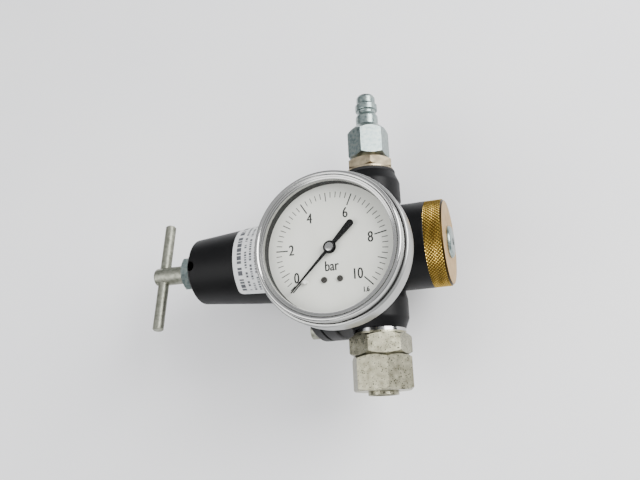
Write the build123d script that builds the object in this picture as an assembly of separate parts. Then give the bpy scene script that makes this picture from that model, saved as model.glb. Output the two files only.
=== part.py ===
from build123d import *
import math
import os

# Relieving diaphragm pressure reducing valve with a back-mounted pressure gauge. Sizes in mm.
# Modelled from the point where its two axes cross: the main axis runs along X, with the
# T-handle at -X and the brass cap at +X; the ports lie along Y, with the quick-connect
# plug at +Y and the compression fitting at -Y; the gauge faces +Z.

# ------------------------------------------------------------------ clearances and fits
slip = 0.05              # radial clearance of what turns or slides in a hole
gap = 0.3                # free space between near parts that move apart
hole_room = 0.25         # radial room of a screw in a clearance hole

# ------------------------------------------------------------------ body and diaphragm
body_r = 21.7
body_end_x = 29.0        # end face that the brass cap is tightened against
flange_r = 43.5
flange_t = 6.5
diaphragm_face_x = -24.5
diaphragm_t = 1.0
diaphragm_inset = 1.0    # the rubber ends this far inside the flanges, as a dark groove
chamber_in = 5.0         # free radius of the diaphragm, inside the circle of screws
chamber_depth = 4.0
port_r = 15.0
port_neck_r = 14.2
port_face_y = 40.4
port_thread_r = 10.3
port_depth = 14.0
port_neck_end = 1.0      # past the body's wall
port_step_end = 4.0
port_chamfer = 2.0
port_chamfer_l = 5.0
outlet_chamber_r = 14.0
valve_chamber_r = 15.0
wall_x = 2.0             # wall between the outlet and the inlet chamber
wall_t = 5.0
cap_thread_r = 17.0
cap_spigot = 8.4         # length of the cap's screwed end
inlet_way_r = 4.0
outlet_way_r = 5.0
inlet_way_x0 = 3.0       # the slanting ways run from the ports' floors to the chambers
inlet_way_x1 = 14.0
outlet_way_x0 = -2.0
outlet_way_x1 = -8.0
way_start = 1.0          # outside the port's floor
way_depth = 2.0          # inside the chamber's wall
screwed_room = 1.0       # left between a screwed end and the floor of its hole
gauge_x = -3.2
gauge_y = -13.0
gauge_boss_r = 11.0
gauge_boss_z = 30.0
rear_boss_z = 28.0
gauge_thread_r = 6.1
gauge_thread_depth = 12.0
gauge_way_r = 2.0

# ------------------------------------------------------------------ bonnet and its screws
bonnet_flange_t = 4.5
bonnet_root_r = 23.0
bonnet_mid_r = 20.5
bonnet_mid_x = -67.0
bonnet_tip_r = 17.8
bonnet_tip_x = -97.6
bonnet_end_x = -100.6
bonnet_end_r = 13.5
bonnet_wall = 3.0
bonnet_end_wall = 4.5
pad_r = 9.0              # raised pad that the lock nut bears on
pad_t = 1.0
vent_r = 2.75
vent_x = -97.0
vent_tilt = -1.0         # degrees from +Z towards +Y
screw_count = 8
screw_r = 2.5
screw_circle_in = 5.5    # the circle of screws inside the flange's rim
screw_head_r = 4.25
screw_head_t = 5.0
screw_socket_af = 4.0
screw_socket_depth = 2.5
screw_grip = 5.5         # length of thread in the body's flange
label_x0 = -70.5
label_x1 = -45.0
label_t = 0.15
label_from = -57.0       # degrees from +Z, negative towards -Y
label_to = 80.0

# ------------------------------------------------------------------ handle and range spring
handle_screw_r = 5.0
handle_end_x = -127.0
handle_tip_r = 3.0
handle_tip_len = 3.0
tee_r = 3.0
tee_len = 63.0
tee_x = -122.5
tee_angle = 11.0         # degrees, -Y end raised towards +Z
lock_nut_af = 17.0
lock_nut_t = 6.0
lock_nut_turn = 12.0     # degrees of a hexagon's flat from +Y towards +Z
carrier_r = 13.5
carrier_t = 4.0
carrier_nose_r = 9.5
carrier_nose_t = 3.0
range_coil_r = 11.8
range_wire_r = 1.9
range_turns = 8.0

# ------------------------------------------------------------------ diaphragm stack
plate_in = 11.0          # the plates' rim inside the chamber
plate_t = 1.5
hub_r = 4.0
relief_r = 1.0
stack_nut_af = 13.0
stack_nut_t = 3.2
hub_over = 0.8           # the hub's end stands out of its nut
rim_r = 9.6
rim_wall = 1.1
rim_t = 1.5
roll_in = 1.5            # the diaphragm's roll inside the chamber, and its width
roll_w = 8.0
roll_h = 1.7
roll_room = 1.1          # free space behind the roll
recess_over = 0.5        # the bonnet's recess past the body's chamber

# ------------------------------------------------------------------ inner valve
seat_bore_r = 5.0
seat_thread_r = 8.0
seat_flange_r = 10.5
seat_flange_t = 1.6
seat_lip = 1.2
seat_lip_h = 1.4
stem_r = 1.6
disc_r = 7.4
disc_t = 2.0
holder_r = 8.0
holder_t = 2.0
holder_lip = 1.4
tail_r = 3.0
tail_out = 2.1           # the stem's tail past the body's end, inside the cap
lift_room = 2.9          # free length past the tail's end
valve_pocket_r = 7.2
valve_pocket_depth = 8.0
valve_coil_r = 5.0
valve_wire_r = 0.7
valve_turns = 5.0

# ------------------------------------------------------------------ brass cap and plug
cap_r = 21.75
cap_t = 9.0
cap_chamfer = 1.0
ring_r = 0.9             # half the thickness of the cap's O-ring
ring_groove_w = 2.4
ring_setback = 1.9       # from the cap's screwed end to its groove
plug_thread_r = 6.0
plug_head_r = 8.0
plug_head_t = 1.8
plug_socket_af = 3.5
plug_socket_depth = 2.4
rear_head_inset = 2.0    # the rear plug's head inside its boss
rear_head_t = 3.0
rear_socket_af = 6.0
rear_socket_depth = 5.0

# ------------------------------------------------------------------ inlet: nipple and plug
seal_t = 1.5
seal_r = 13.0
nipple_collar_r = 12.3
nipple_collar_t = 1.4
nipple_af = 22.0
nipple_hex_t = 5.2
nipple_turn = 46.0       # degrees of a hexagon's flat from +Z towards +X
nipple_bore_r = 4.0
nipple_thread_r = 6.5
nipple_thread_len = 12.0
plug_gap = 2.3           # thread seen between the nipple's hexagon and the quick plug
quick_af = 19.0
quick_hex_len = 18.2
quick_turn = 23.5
quick_cone_len = 4.3
quick_cone_r = 6.5
quick_stem_len = 17.6    # of the plug past its hexagon
quick_tip_r = 5.0
quick_tip_chamfer = 1.4
quick_tip_len = 3.3
quick_collar_r = 5.9
quick_neck_r = 4.9
quick_mouth_r = 4.2
quick_slope = 1.0        # length of the slope from the collar to the tip
quick_collar_l = 3.3
quick_neck_l = 1.7
quick_ramp_l = 1.8
quick_bore_r = 3.6

# ------------------------------------------------------------------ outlet: 15 mm fitting
stud_collar_r = 13.0
stud_collar_t = 1.1
stud_af = 27.0
stud_hex_t = 9.8
stud_turn = 39.0
stud_wall = 1.9          # of the stud at the mouth of its cone
stud_len = 25.6          # of the stud outside the port
stud_bore_r = 6.0
nut_gap = 0.5
nut_af = 27.0
nut_len = 16.7
nut_turn = 6.0
tube_r = 7.5
tube_wall = 1.0
tube_out = 2.0           # the tube's end past its nut
tube_seat = 16.6         # the tube bottoms here in the stud, outside the port
cone_half_angle = 12.0
ring_len = 5.0           # length of the cutting ring inside the stud's cone
ring_lip = 0.2
ring_shoulder_t = 1.0
cone_setback = 1.7       # the cone ends this far outside the tube's seat
nut_room = 0.4           # free space in the nut past the stud's end
mouth_room = 0.1         # radial room of the tube in the nut's mouth

# ------------------------------------------------------------------ gauge
socket_af = 14.0
socket_neck_r = 5.5
socket_bore_r = 1.5
socket_turn = 15.0       # degrees of a hexagon's flat from +X
case_gap = 1.0           # between the socket's hexagon and the case
case_r = 31.25
case_wall = 1.0
case_room = 1.0          # between the flange and the case, whose rear the heights start from
case_corner_r = 3.0
bezel_up = 11.5
bezel_skirt_out = 2.85   # the bezel's radii, counted from the case's
bezel_step_up = 21.5
bezel_ring_out = 1.15
bezel_sheet = 0.9
window_open_in = 2.75
bezel_top_up = 27.0
window_t = 1.6
window_up = 23.5
dial_up = 19.1
dial_t = 0.6
dial_screw_x = 3.5
dial_screw_y = -13.6
dial_screw_r = 0.8
dial_head_r = 1.3
dial_head_t = 0.7
dial_grip = 3.0
dial_post_r = 1.5
dial_slot = 0.5
dial_slot_turn = 25.0
start_angle = 135.0      # degrees of the pointer at zero, turned left from the dial's top
stop_r = 0.9
stop_at_r = 18.0
stop_h = 1.9
pointer_up = 20.7
pointer_t = 0.6
pointer_room = 3.0       # the pointer's tip inside the window's ring
pointer_tail = 14.8
pointer_hub_r = 2.85
pointer_root_w = 1.4
pointer_tip_w = 0.4
tail_w = 3.0
hub_cap_r = 2.4
hub_cap_t = 1.1
blow_plug_r = 3.2
blow_plug_up = 6.1
blow_plug_angle = 125.0
blow_plug_out = 1.3

# ------------------------------------------------------------------ gauge movement
tooth_module = 0.3
pinion_teeth = 12
sector_teeth = 72        # on a full circle; only the arc that meshes is cut
sector_cut = 12
tooth_play = 0.05
pressure_angle = math.radians(20)
pinion_add = 0.8         # addenda and root depth, as shares of the module
sector_add = 0.7
root_add = 0.95
arbor_r = 0.7
sector_arbor_r = 0.8
back_plate_up = 6.0
front_plate_up = 13.7
plate_sheet = 1.2
sector_up = 9.5
sector_t = 1.5
pinion_t = 2.1
pillar_r = 1.2
pillar_spots = [(-6.0, -19.2), (6.0, -19.2), (-6.8, 4.0), (6.8, 4.0)]
plate_w = 17.0
plate_y0 = -21.5
plate_y1 = 6.0
tail_pin_r = 0.6
tail_at = -65.0          # degrees of the sector's tail pin about its arbor
tail_len = 5.5
link_up = 7.7
link_t = 0.8
link_w = 2.4
bourdon_in = 7.25
bourdon_half_w = 0.9
bourdon_half_h = 2.3
bourdon_skin = 0.35
bourdon_up = 5.0
bourdon_from = 10.0      # degrees at the free end
bourdon_sweep = 250.0
lug_span = 18.0
lug_half = 2.0           # half the thickness of the lug that holds the tube's fixed end
lug_over = 1.0
tip_span = 8.0
tip_half = 1.4
tip_over = 0.1           # the end piece past the tube, and half its room under the link
hair_r0 = 1.5
hair_r1 = 4.6
hair_turns = 4
hair_sheet = 0.15
hair_up = 11.9
hair_h = 0.8
collet_r = 1.3
block_w = 8.0
block_h = 4.0
block_end_y = 6.0
foot_spots = [(0, -18.0), (0, -8.0), (0, 3.6)]
foot_r = 2.0

# ------------------------------------------------------------------ worked-out places
screw_circle_r = flange_r - screw_circle_in
chamber_r = screw_circle_r - chamber_in
roll_r1 = chamber_r - roll_in
roll_r0 = roll_r1 - roll_w
plate_r = chamber_r - plate_in
case_z = flange_r + case_room
bezel_z0 = case_z + bezel_up
bezel_step_z = case_z + bezel_step_up
bezel_top_z = case_z + bezel_top_up
window_z = case_z + window_up
dial_z = case_z + dial_up
pointer_z = case_z + pointer_up
blow_plug_z = case_z + blow_plug_up
back_plate_z = case_z + back_plate_up
front_plate_z = case_z + front_plate_up
sector_z = case_z + sector_up
link_z = case_z + link_up
bourdon_z = case_z + bourdon_up
hair_z = case_z + hair_up
bezel_skirt_r = case_r + bezel_skirt_out
bezel_ring_r = case_r + bezel_ring_out
window_open_r = case_r - window_open_in
bourdon_r = case_r - bourdon_in
pointer_len = window_open_r - pointer_room
bonnet_face_x = diaphragm_face_x - diaphragm_t
bonnet_flange_x = bonnet_face_x - bonnet_flange_t
flange_back_x = diaphragm_face_x + flange_t
chamber_x = diaphragm_face_x + chamber_depth
bonnet_inner_x = bonnet_end_x + bonnet_end_wall
pad_x = bonnet_end_x - pad_t
wall_end_x = wall_x + wall_t
cap_bore_x = body_end_x - cap_spigot
cap_face_x = body_end_x + cap_t
seat_x = wall_end_x + seat_flange_t + seat_lip_h
holder_x = seat_x + disc_t
holder_end_x = holder_x + holder_t
pocket_end_x = cap_bore_x + valve_pocket_depth
tail_end_x = body_end_x + tail_out
guide_end_x = tail_end_x + lift_room
plate_face_x = diaphragm_face_x + plate_t
spring_plate_x = bonnet_face_x - plate_t
stack_nut_x = spring_plate_x - stack_nut_t
hub_end_x = stack_nut_x - hub_over
carrier_x = bonnet_inner_x + gap
carrier_face_x = carrier_x + carrier_t
tip_x = carrier_x + handle_tip_len
body_screw_x = diaphragm_face_x + screw_grip
seal_end_y = port_face_y + seal_t
port_floor_y = port_face_y - port_depth
nipple_hex_y = seal_end_y + nipple_collar_t
nipple_hex_end_y = nipple_hex_y + nipple_hex_t
quick_y = nipple_hex_end_y + plug_gap
quick_hex_end_y = quick_y + quick_hex_len
quick_end_y = quick_hex_end_y + quick_stem_len
nipple_end_y = nipple_hex_end_y + nipple_thread_len
stud_hex_y = seal_end_y + stud_collar_t
stud_hex_end_y = stud_hex_y + stud_hex_t
nut_y = stud_hex_end_y + nut_gap
nut_end_y = nut_y + nut_len
stud_end_y = port_face_y + stud_len
tube_in_y = port_face_y + tube_seat
tube_end_y = nut_end_y + tube_out
cone_slope = math.tan(math.radians(cone_half_angle))
cone_mouth_r = tube_r + slip + cone_slope * (stud_end_y - tube_in_y - cone_setback)
stud_thread_r = cone_mouth_r + stud_wall
cone_in_y = stud_end_y - (cone_mouth_r - tube_r - slip) / cone_slope
ring_in_y = stud_end_y - ring_len
ring_shoulder_r = cone_mouth_r + ring_lip
ring_shoulder_y = stud_end_y + ring_shoulder_t
ring_end_y = ring_shoulder_y + ring_shoulder_r - tube_r - ring_lip
case_inner_r = case_r - case_wall
case_floor_z = case_z + case_wall
lip_z = window_z + window_t
socket_hex_z = gauge_boss_z + seal_t
gauge_floor_z = gauge_boss_z - gauge_thread_depth
rear_floor_z = rear_boss_z - gauge_thread_depth
back_plate_top = back_plate_z + plate_sheet
front_plate_top = front_plate_z + plate_sheet
pitch_pinion = tooth_module * pinion_teeth / 2
pitch_sector = tooth_module * sector_teeth / 2
sector_y = -(pitch_pinion + pitch_sector)

# ------------------------------------------------------------------ frames of the axes
main = Plane(origin=(0, 0, 0), x_dir=(0, 1, 0), z_dir=(1, 0, 0))
inlet = Plane(origin=(0, 0, 0), x_dir=(0, 0, 1), z_dir=(0, 1, 0))
outlet = Plane(origin=(0, 0, 0), x_dir=(0, 0, 1), z_dir=(0, -1, 0))
gauge = Plane(origin=(gauge_x, gauge_y, 0), x_dir=(1, 0, 0), z_dir=(0, 0, 1))
rear = Plane(origin=(gauge_x, gauge_y, 0), x_dir=(1, 0, 0), z_dir=(0, 0, -1))


# ------------------------------------------------------------------ shared shapes
def turned(points, plane, radii=None, arc=360.0):
    """Solid turned about the plane's Z axis; points are (radius, height), radii round corners."""
    if radii is None:
        line = Polyline(*points, close=True)
    else:
        line = FilletPolyline(*points, radius=radii, close=True)
    return plane * revolve(make_face(Plane.XZ * line), Axis.Z, arc)


def tube(inner_r, outer_r, z0, z1, plane):
    """Plain ring from z0 to z1 along the plane's axis; an inner radius of 0 gives a rod."""
    return turned([(inner_r, z0), (outer_r, z0), (outer_r, z1), (inner_r, z1)], plane)


def hexagon(af, z0, z1, plane, turn, ends=(True, True)):
    """Hexagonal prism across flats af, its first flat turned by turn, with chamfered ends."""
    flat_r = af / 2
    corner_r = flat_r / math.cos(math.pi / 6)
    bevel = (corner_r - flat_r) * math.tan(math.pi / 6)
    prism = extrude(RegularPolygon(flat_r, 6, major_radius=False, rotation=turn + 30), z1 - z0)
    prism = plane * Pos(0, 0, z0) * prism
    low = bevel if ends[0] else 0
    high = bevel if ends[1] else 0
    points = [(0, z0), (flat_r if low else corner_r, z0), (corner_r, z0 + low)]
    points += [(corner_r, z1 - high), (flat_r if high else corner_r, z1), (0, z1)]
    outline = [p for i, p in enumerate(points) if i == 0 or p != points[i - 1]]
    return prism & turned(outline, plane)


def drilled(start, end, radius):
    """Straight cylinder between two points."""
    axis = Vector(*end) - Vector(*start)
    return Plane(origin=start, z_dir=axis) * tube(0, radius, 0, axis.length, Plane.XY)


def coil(radius, wire_r, z0, z1, turns, plane):
    """Compression spring with ends ground flat between z0 and z1."""
    path = Helix((z1 - z0 - wire_r) / turns, z1 - z0 - wire_r, radius)
    wire = sweep(Plane(origin=path @ 0, z_dir=path % 0) * Circle(wire_r), path=path, is_frenet=True)
    wire = plane * Pos(0, 0, z0 + wire_r / 2) * wire
    return wire & tube(0, radius + 2 * wire_r, z0, z1, plane)


def around(shape, count, axis):
    """Copies of a shape spaced evenly round an axis."""
    return [shape.rotate(axis, 360 * i / count) for i in range(count)]


def polar(radius, degrees):
    return (radius * math.cos(math.radians(degrees)), radius * math.sin(math.radians(degrees)))


def sum_of(shapes):
    """Group of separate solids in one node."""
    return Compound(children=[s for shape in shapes for s in shape.solids()])


# ------------------------------------------------------------------ body and diaphragm side
def body_casting():
    points = [(0, diaphragm_face_x), (flange_r, diaphragm_face_x), (flange_r, flange_back_x)]
    points += [(body_r, flange_back_x), (body_r, body_end_x), (0, body_end_x)]
    solid = turned(points, main, radii=[0, 0.4, 1.2, 2.5, 0.4, 0])
    boss = [(0, 0), (port_neck_r, 0), (port_neck_r, body_r + port_neck_end), (port_r, body_r + port_step_end)]
    boss += [(port_r, port_face_y - port_chamfer_l), (port_r - port_chamfer, port_face_y), (0, port_face_y)]
    for side in (inlet, outlet):
        solid += turned(boss, side, radii=[0, 0, 2, 2, 3, 0.5, 0])
    solid += tube(0, gauge_boss_r, 0, gauge_boss_z, gauge)
    solid += tube(0, gauge_boss_r, 0, rear_boss_z, rear)
    solid -= tube(0, chamber_r, diaphragm_face_x, chamber_x, main)
    solid -= tube(0, outlet_chamber_r, chamber_x, wall_x, main)
    solid -= tube(0, seat_thread_r, wall_x, wall_end_x, main)
    solid -= tube(0, valve_chamber_r, wall_end_x, cap_bore_x, main)
    solid -= tube(0, cap_thread_r, cap_bore_x, body_end_x, main)
    for side in (inlet, outlet):
        solid -= tube(0, port_thread_r, port_floor_y, port_face_y, side)
    solid -= drilled((inlet_way_x0, port_floor_y + way_start, 0),
                     (inlet_way_x1, valve_chamber_r - way_depth, 0), inlet_way_r)
    solid -= drilled((outlet_way_x0, -port_floor_y - way_start, 0),
                     (outlet_way_x1, way_depth - outlet_chamber_r, 0), outlet_way_r)
    solid -= tube(0, gauge_thread_r, gauge_floor_z, gauge_boss_z, gauge)
    solid -= tube(0, gauge_thread_r, rear_floor_z, rear_boss_z, rear)
    inner = (gauge_x, 2 * way_depth - outlet_chamber_r, 0)
    solid -= drilled((gauge_x, gauge_y, gauge_floor_z + way_start), inner, gauge_way_r)
    solid -= drilled((gauge_x, gauge_y, -rear_floor_z - way_start), inner, gauge_way_r)
    hole = Pos(0, screw_circle_r, 0) * tube(0, screw_r, diaphragm_face_x, body_screw_x, main)
    for copy in around(hole, screw_count, Axis.X):
        solid -= copy
    return solid


def diaphragm():
    top = diaphragm_face_x
    under = bonnet_face_x
    outer = flange_r - diaphragm_inset
    points = [(hub_r, top), (roll_r0, top), (roll_r0 + 1.5, top - roll_h)]
    points += [(roll_r1 - 1.5, top - roll_h), (roll_r1, top), (outer, top), (outer, under)]
    points += [(roll_r1 + 0.5, under), (roll_r1 - 1, under - roll_h), (roll_r0 + 1, under - roll_h)]
    points += [(roll_r0 - 0.5, under), (hub_r, under)]
    solid = turned(points, main)
    hole = Pos(0, screw_circle_r, 0) * tube(0, screw_r + hole_room, under, top, main)
    for copy in around(hole, screw_count, Axis.X):
        solid -= copy
    return solid


def diaphragm_plate():
    points = [(relief_r, plate_face_x), (plate_r, plate_face_x), (plate_r, diaphragm_face_x)]
    points += [(hub_r, diaphragm_face_x), (hub_r, hub_end_x), (relief_r, hub_end_x)]
    return turned(points, main)


def spring_plate():
    points = [(hub_r, bonnet_face_x), (plate_r, bonnet_face_x), (plate_r, spring_plate_x)]
    points += [(rim_r, spring_plate_x), (rim_r, spring_plate_x - rim_t)]
    points += [(rim_r - rim_wall, spring_plate_x - rim_t), (rim_r - rim_wall, spring_plate_x)]
    points += [(hub_r, spring_plate_x)]
    return turned(points, main)


def diaphragm_nut():
    nut = hexagon(stack_nut_af, stack_nut_x, spring_plate_x, main, 0, ends=(True, False))
    return nut - tube(0, hub_r, stack_nut_x, spring_plate_x, main)


# ------------------------------------------------------------------ bonnet side
def bonnet_outside():
    """Outline of the bonnet's outer wall from its flange to its tip."""
    return [(bonnet_root_r, bonnet_flange_x), (bonnet_mid_r, bonnet_mid_x), (bonnet_tip_r, bonnet_tip_x)]


def bonnet():
    recess_x = bonnet_face_x - roll_h - roll_room
    recess_r = chamber_r + recess_over
    points = [(recess_r, bonnet_face_x), (flange_r, bonnet_face_x), (flange_r, bonnet_flange_x)]
    points += bonnet_outside() + [(bonnet_end_r, bonnet_end_x), (pad_r, bonnet_end_x), (pad_r, pad_x)]
    points += [(handle_screw_r + slip, pad_x), (handle_screw_r + slip, bonnet_inner_x)]
    points += [(bonnet_tip_r - bonnet_wall, bonnet_inner_x), (bonnet_mid_r - bonnet_wall, bonnet_mid_x)]
    points += [(bonnet_root_r - bonnet_wall, recess_x), (recess_r, recess_x)]
    radii = [0, 0.4, 1.2, 2.5, 0, 1.5, 1.5, 0.3, 0.3, 0, 0, 1, 0, 0, 0]
    solid = turned(points, main, radii=radii)
    tilt = math.radians(vent_tilt)
    out = (vent_x, math.sin(tilt) * body_r, math.cos(tilt) * body_r)
    solid -= drilled((vent_x, 0, 0), out, vent_r)
    hole_end = (bonnet_flange_x, bonnet_face_x)
    hole = Pos(0, screw_circle_r, 0) * tube(0, screw_r + hole_room, *hole_end, main)
    for copy in around(hole, screw_count, Axis.X):
        solid -= copy
    return solid


def bonnet_screws():
    head_x = bonnet_flange_x - screw_head_t
    screw = tube(0, screw_head_r, head_x, bonnet_flange_x, main)
    screw += tube(0, screw_r, bonnet_flange_x, body_screw_x, main)
    screw -= hexagon(screw_socket_af, head_x, head_x + screw_socket_depth, main, 0, (False, False))
    return sum_of(around(Pos(0, screw_circle_r, 0) * screw, screw_count, Axis.X))


def label():
    spots = [(bonnet_r_at(x), x) for x in (label_x0, bonnet_mid_x, label_x1)]
    points = spots + [(r + label_t, x) for r, x in reversed(spots)]
    skin = turned(points, main, arc=label_to - label_from)
    return skin.rotate(Axis.X, 90 - label_to)


def bonnet_r_at(x):
    """Outer radius of the bonnet's wall at a place along the axis."""
    root, middle, tip = bonnet_outside()
    low, high = (root, middle) if x > bonnet_mid_x else (middle, tip)
    return low[0] + (high[0] - low[0]) * (x - low[1]) / (high[1] - low[1])


def range_spring():
    return coil(range_coil_r, range_wire_r, carrier_face_x, spring_plate_x, range_turns, main)


def upper_spring_seat():
    nose_x = carrier_face_x + carrier_nose_t
    points = [(0, carrier_x), (carrier_r, carrier_x), (carrier_r, carrier_face_x)]
    points += [(carrier_nose_r, carrier_face_x), (carrier_nose_r, nose_x), (0, nose_x)]
    seat = turned(points, main, radii=[0, 0.8, 0.4, 0, 0.8, 0])
    return seat - tube(0, handle_tip_r + slip, carrier_x, tip_x, main)


def tee_bar():
    tilt = math.radians(tee_angle)
    half = tee_len / 2
    ends = [(tee_x, side * half * math.cos(tilt), -side * half * math.sin(tilt)) for side in (-1, 1)]
    bar = drilled(ends[0], ends[1], tee_r)
    return chamfer(bar.edges().filter_by(GeomType.CIRCLE), 0.6)


def adjusting_screw():
    shoulder_x = carrier_x - gap
    points = [(0, handle_end_x), (handle_screw_r, handle_end_x), (handle_screw_r, shoulder_x)]
    points += [(handle_tip_r, shoulder_x), (handle_tip_r, tip_x), (0, tip_x)]
    screw = turned(points, main, radii=[0, 1, 0.3, 0, 0.4, 0])
    return screw - tee_bar()


def lock_nut():
    nut = hexagon(lock_nut_af, pad_x - lock_nut_t, pad_x, main, lock_nut_turn)
    return nut - tube(0, handle_screw_r + slip, pad_x - lock_nut_t, pad_x, main)


# ------------------------------------------------------------------ inner valve and cap
def seat_ring():
    face_x = wall_end_x + seat_flange_t
    points = [(seat_bore_r, wall_x), (seat_thread_r, wall_x), (seat_thread_r, wall_end_x)]
    points += [(seat_flange_r, wall_end_x), (seat_flange_r, face_x), (seat_bore_r + seat_lip, face_x)]
    points += [(seat_bore_r + seat_lip, seat_x), (seat_bore_r, seat_x)]
    return turned(points, main)


def valve_stem():
    points = [(0, plate_face_x), (stem_r, plate_face_x), (stem_r, holder_x), (disc_r, holder_x)]
    points += [(disc_r, holder_x - holder_lip), (holder_r, holder_x - holder_lip)]
    points += [(holder_r, holder_end_x), (tail_r, holder_end_x), (tail_r, tail_end_x), (0, tail_end_x)]
    return turned(points, main)


def valve_disc():
    return tube(stem_r, disc_r, seat_x, holder_x, main)


def valve_spring():
    return coil(valve_coil_r, valve_wire_r, holder_end_x, pocket_end_x, valve_turns, main)


def brass_cap():
    groove_x = cap_bore_x + ring_setback
    groove_r = cap_thread_r - 2 * ring_r
    points = [(valve_pocket_r, cap_bore_x), (cap_thread_r, cap_bore_x), (cap_thread_r, body_end_x)]
    points += [(cap_r, body_end_x), (cap_r, cap_face_x - cap_chamfer), (cap_r - cap_chamfer, cap_face_x)]
    points += [(plug_thread_r, cap_face_x), (plug_thread_r, guide_end_x), (tail_r + slip, guide_end_x)]
    points += [(tail_r + slip, pocket_end_x), (valve_pocket_r, pocket_end_x)]
    cap = turned(points, main)
    return cap - tube(groove_r, cap_thread_r, groove_x, groove_x + ring_groove_w, main)


def cap_oring():
    centre_x = cap_bore_x + ring_setback + ring_groove_w / 2
    section = Pos(cap_thread_r - ring_r, centre_x) * Circle(ring_r)
    return main * revolve(Plane.XZ * section, Axis.Z)


def centre_plug():
    face_x = cap_face_x + plug_head_t
    points = [(0, guide_end_x), (plug_thread_r, guide_end_x), (plug_thread_r, cap_face_x)]
    points += [(plug_head_r, cap_face_x), (plug_head_r, face_x), (0, face_x)]
    plug = turned(points, main, radii=[0, 0.3, 0, 0.2, 1.5, 0])
    return plug - hexagon(plug_socket_af, face_x - plug_socket_depth, face_x, main, 0, (False, False))


# ------------------------------------------------------------------ inlet and outlet fittings
def port_seal(plane):
    return tube(port_thread_r, seal_r, port_face_y, seal_end_y, plane)


def inlet_nipple():
    floor_y = port_floor_y + screwed_room
    points = [(nipple_bore_r, floor_y), (port_thread_r, floor_y)]
    points += [(port_thread_r, seal_end_y), (nipple_collar_r, seal_end_y), (nipple_collar_r, nipple_hex_y)]
    points += [(nipple_thread_r, nipple_hex_y), (nipple_thread_r, nipple_end_y)]
    points += [(nipple_bore_r, nipple_end_y)]
    nipple = turned(points, inlet, radii=[0, 1, 0, 0.3, 0.3, 0, 0.8, 0])
    ring = tube(0, nipple_thread_r, nipple_hex_y, nipple_hex_end_y, inlet)
    return nipple + (hexagon(nipple_af, nipple_hex_y, nipple_hex_end_y, inlet, nipple_turn) - ring)


def quick_plug():
    prism = hexagon(quick_af, quick_y, quick_hex_end_y, inlet, quick_turn, ends=(True, False))
    corner_r = quick_af / math.sqrt(3)
    cone_y = quick_hex_end_y - quick_cone_len
    prism = prism & turned([(0, quick_y), (corner_r, quick_y), (corner_r, cone_y),
                            (quick_cone_r, quick_hex_end_y), (0, quick_hex_end_y)], inlet)
    tip_y = quick_end_y - quick_tip_chamfer
    collar_end_y = tip_y - quick_tip_len - quick_slope
    neck_y = collar_end_y - quick_collar_l
    ramp_y = neck_y - quick_neck_l
    points = [(0, quick_hex_end_y), (quick_collar_r, quick_hex_end_y)]
    points += [(quick_collar_r, ramp_y - quick_ramp_l)]
    points += [(quick_neck_r, ramp_y), (quick_neck_r, neck_y), (quick_collar_r, neck_y)]
    points += [(quick_collar_r, collar_end_y), (quick_tip_r, collar_end_y + quick_slope)]
    points += [(quick_tip_r, tip_y)]
    points += [(quick_mouth_r, quick_end_y), (0, quick_end_y)]
    stem = turned(points, inlet, radii=[0, 0, 0.8, 0.8, 0.5, 0.6, 0.3, 0.3, 0.5, 0.4, 0])
    plug = prism + stem
    plug -= tube(0, nipple_thread_r, quick_y, nipple_end_y, inlet)
    return plug - tube(0, quick_bore_r, nipple_end_y, quick_end_y, inlet)


def outlet_stud():
    floor_y = port_floor_y + screwed_room
    points = [(stud_bore_r, floor_y), (port_thread_r, floor_y)]
    points += [(port_thread_r, seal_end_y), (stud_collar_r, seal_end_y), (stud_collar_r, stud_hex_y)]
    points += [(stud_thread_r, stud_hex_y), (stud_thread_r, stud_end_y), (cone_mouth_r, stud_end_y)]
    points += [(tube_r + slip, cone_in_y), (tube_r + slip, tube_in_y), (stud_bore_r, tube_in_y)]
    stud = turned(points, outlet)
    ring = tube(0, stud_thread_r, stud_hex_y, stud_hex_end_y, outlet)
    return stud + (hexagon(stud_af, stud_hex_y, stud_hex_end_y, outlet, stud_turn) - ring)


def cutting_ring():
    start_r = cone_mouth_r - cone_slope * ring_len
    points = [(tube_r, ring_in_y), (start_r, ring_in_y), (cone_mouth_r, stud_end_y)]
    points += [(ring_shoulder_r, stud_end_y), (ring_shoulder_r, ring_shoulder_y)]
    points += [(tube_r + ring_lip, ring_end_y), (tube_r, ring_end_y)]
    return turned(points, outlet)


def compression_nut():
    hollow_y = stud_end_y + nut_room
    hollow_r = ring_shoulder_r + ring_shoulder_y - hollow_y
    mouth_r = tube_r + mouth_room
    mouth_y = ring_end_y + mouth_room
    nut = hexagon(nut_af, nut_y, nut_end_y, outlet, nut_turn)
    points = [(0, nut_y), (stud_thread_r, nut_y), (stud_thread_r, hollow_y), (hollow_r, hollow_y)]
    points += [(mouth_r, mouth_y), (mouth_r, nut_end_y), (0, nut_end_y)]
    return nut - turned(points, outlet)


def tube_stub():
    points = [(tube_r - tube_wall, tube_in_y), (tube_r, tube_in_y), (tube_r, tube_end_y)]
    points += [(tube_r - tube_wall, tube_end_y)]
    return turned(points, outlet, radii=[0, 0, 0.3, 0.2])


def rear_port_plug():
    floor_z = rear_floor_z + screwed_room
    top_z = rear_boss_z + rear_head_t
    head_r = gauge_boss_r - rear_head_inset
    points = [(0, floor_z), (gauge_thread_r, floor_z), (gauge_thread_r, rear_boss_z)]
    points += [(head_r, rear_boss_z), (head_r, top_z), (0, top_z)]
    plug = turned(points, rear, radii=[0, 0.5, 0, 0.2, 1, 0])
    return plug - hexagon(rear_socket_af, top_z - rear_socket_depth, top_z, rear, 0, (False, False))


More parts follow.
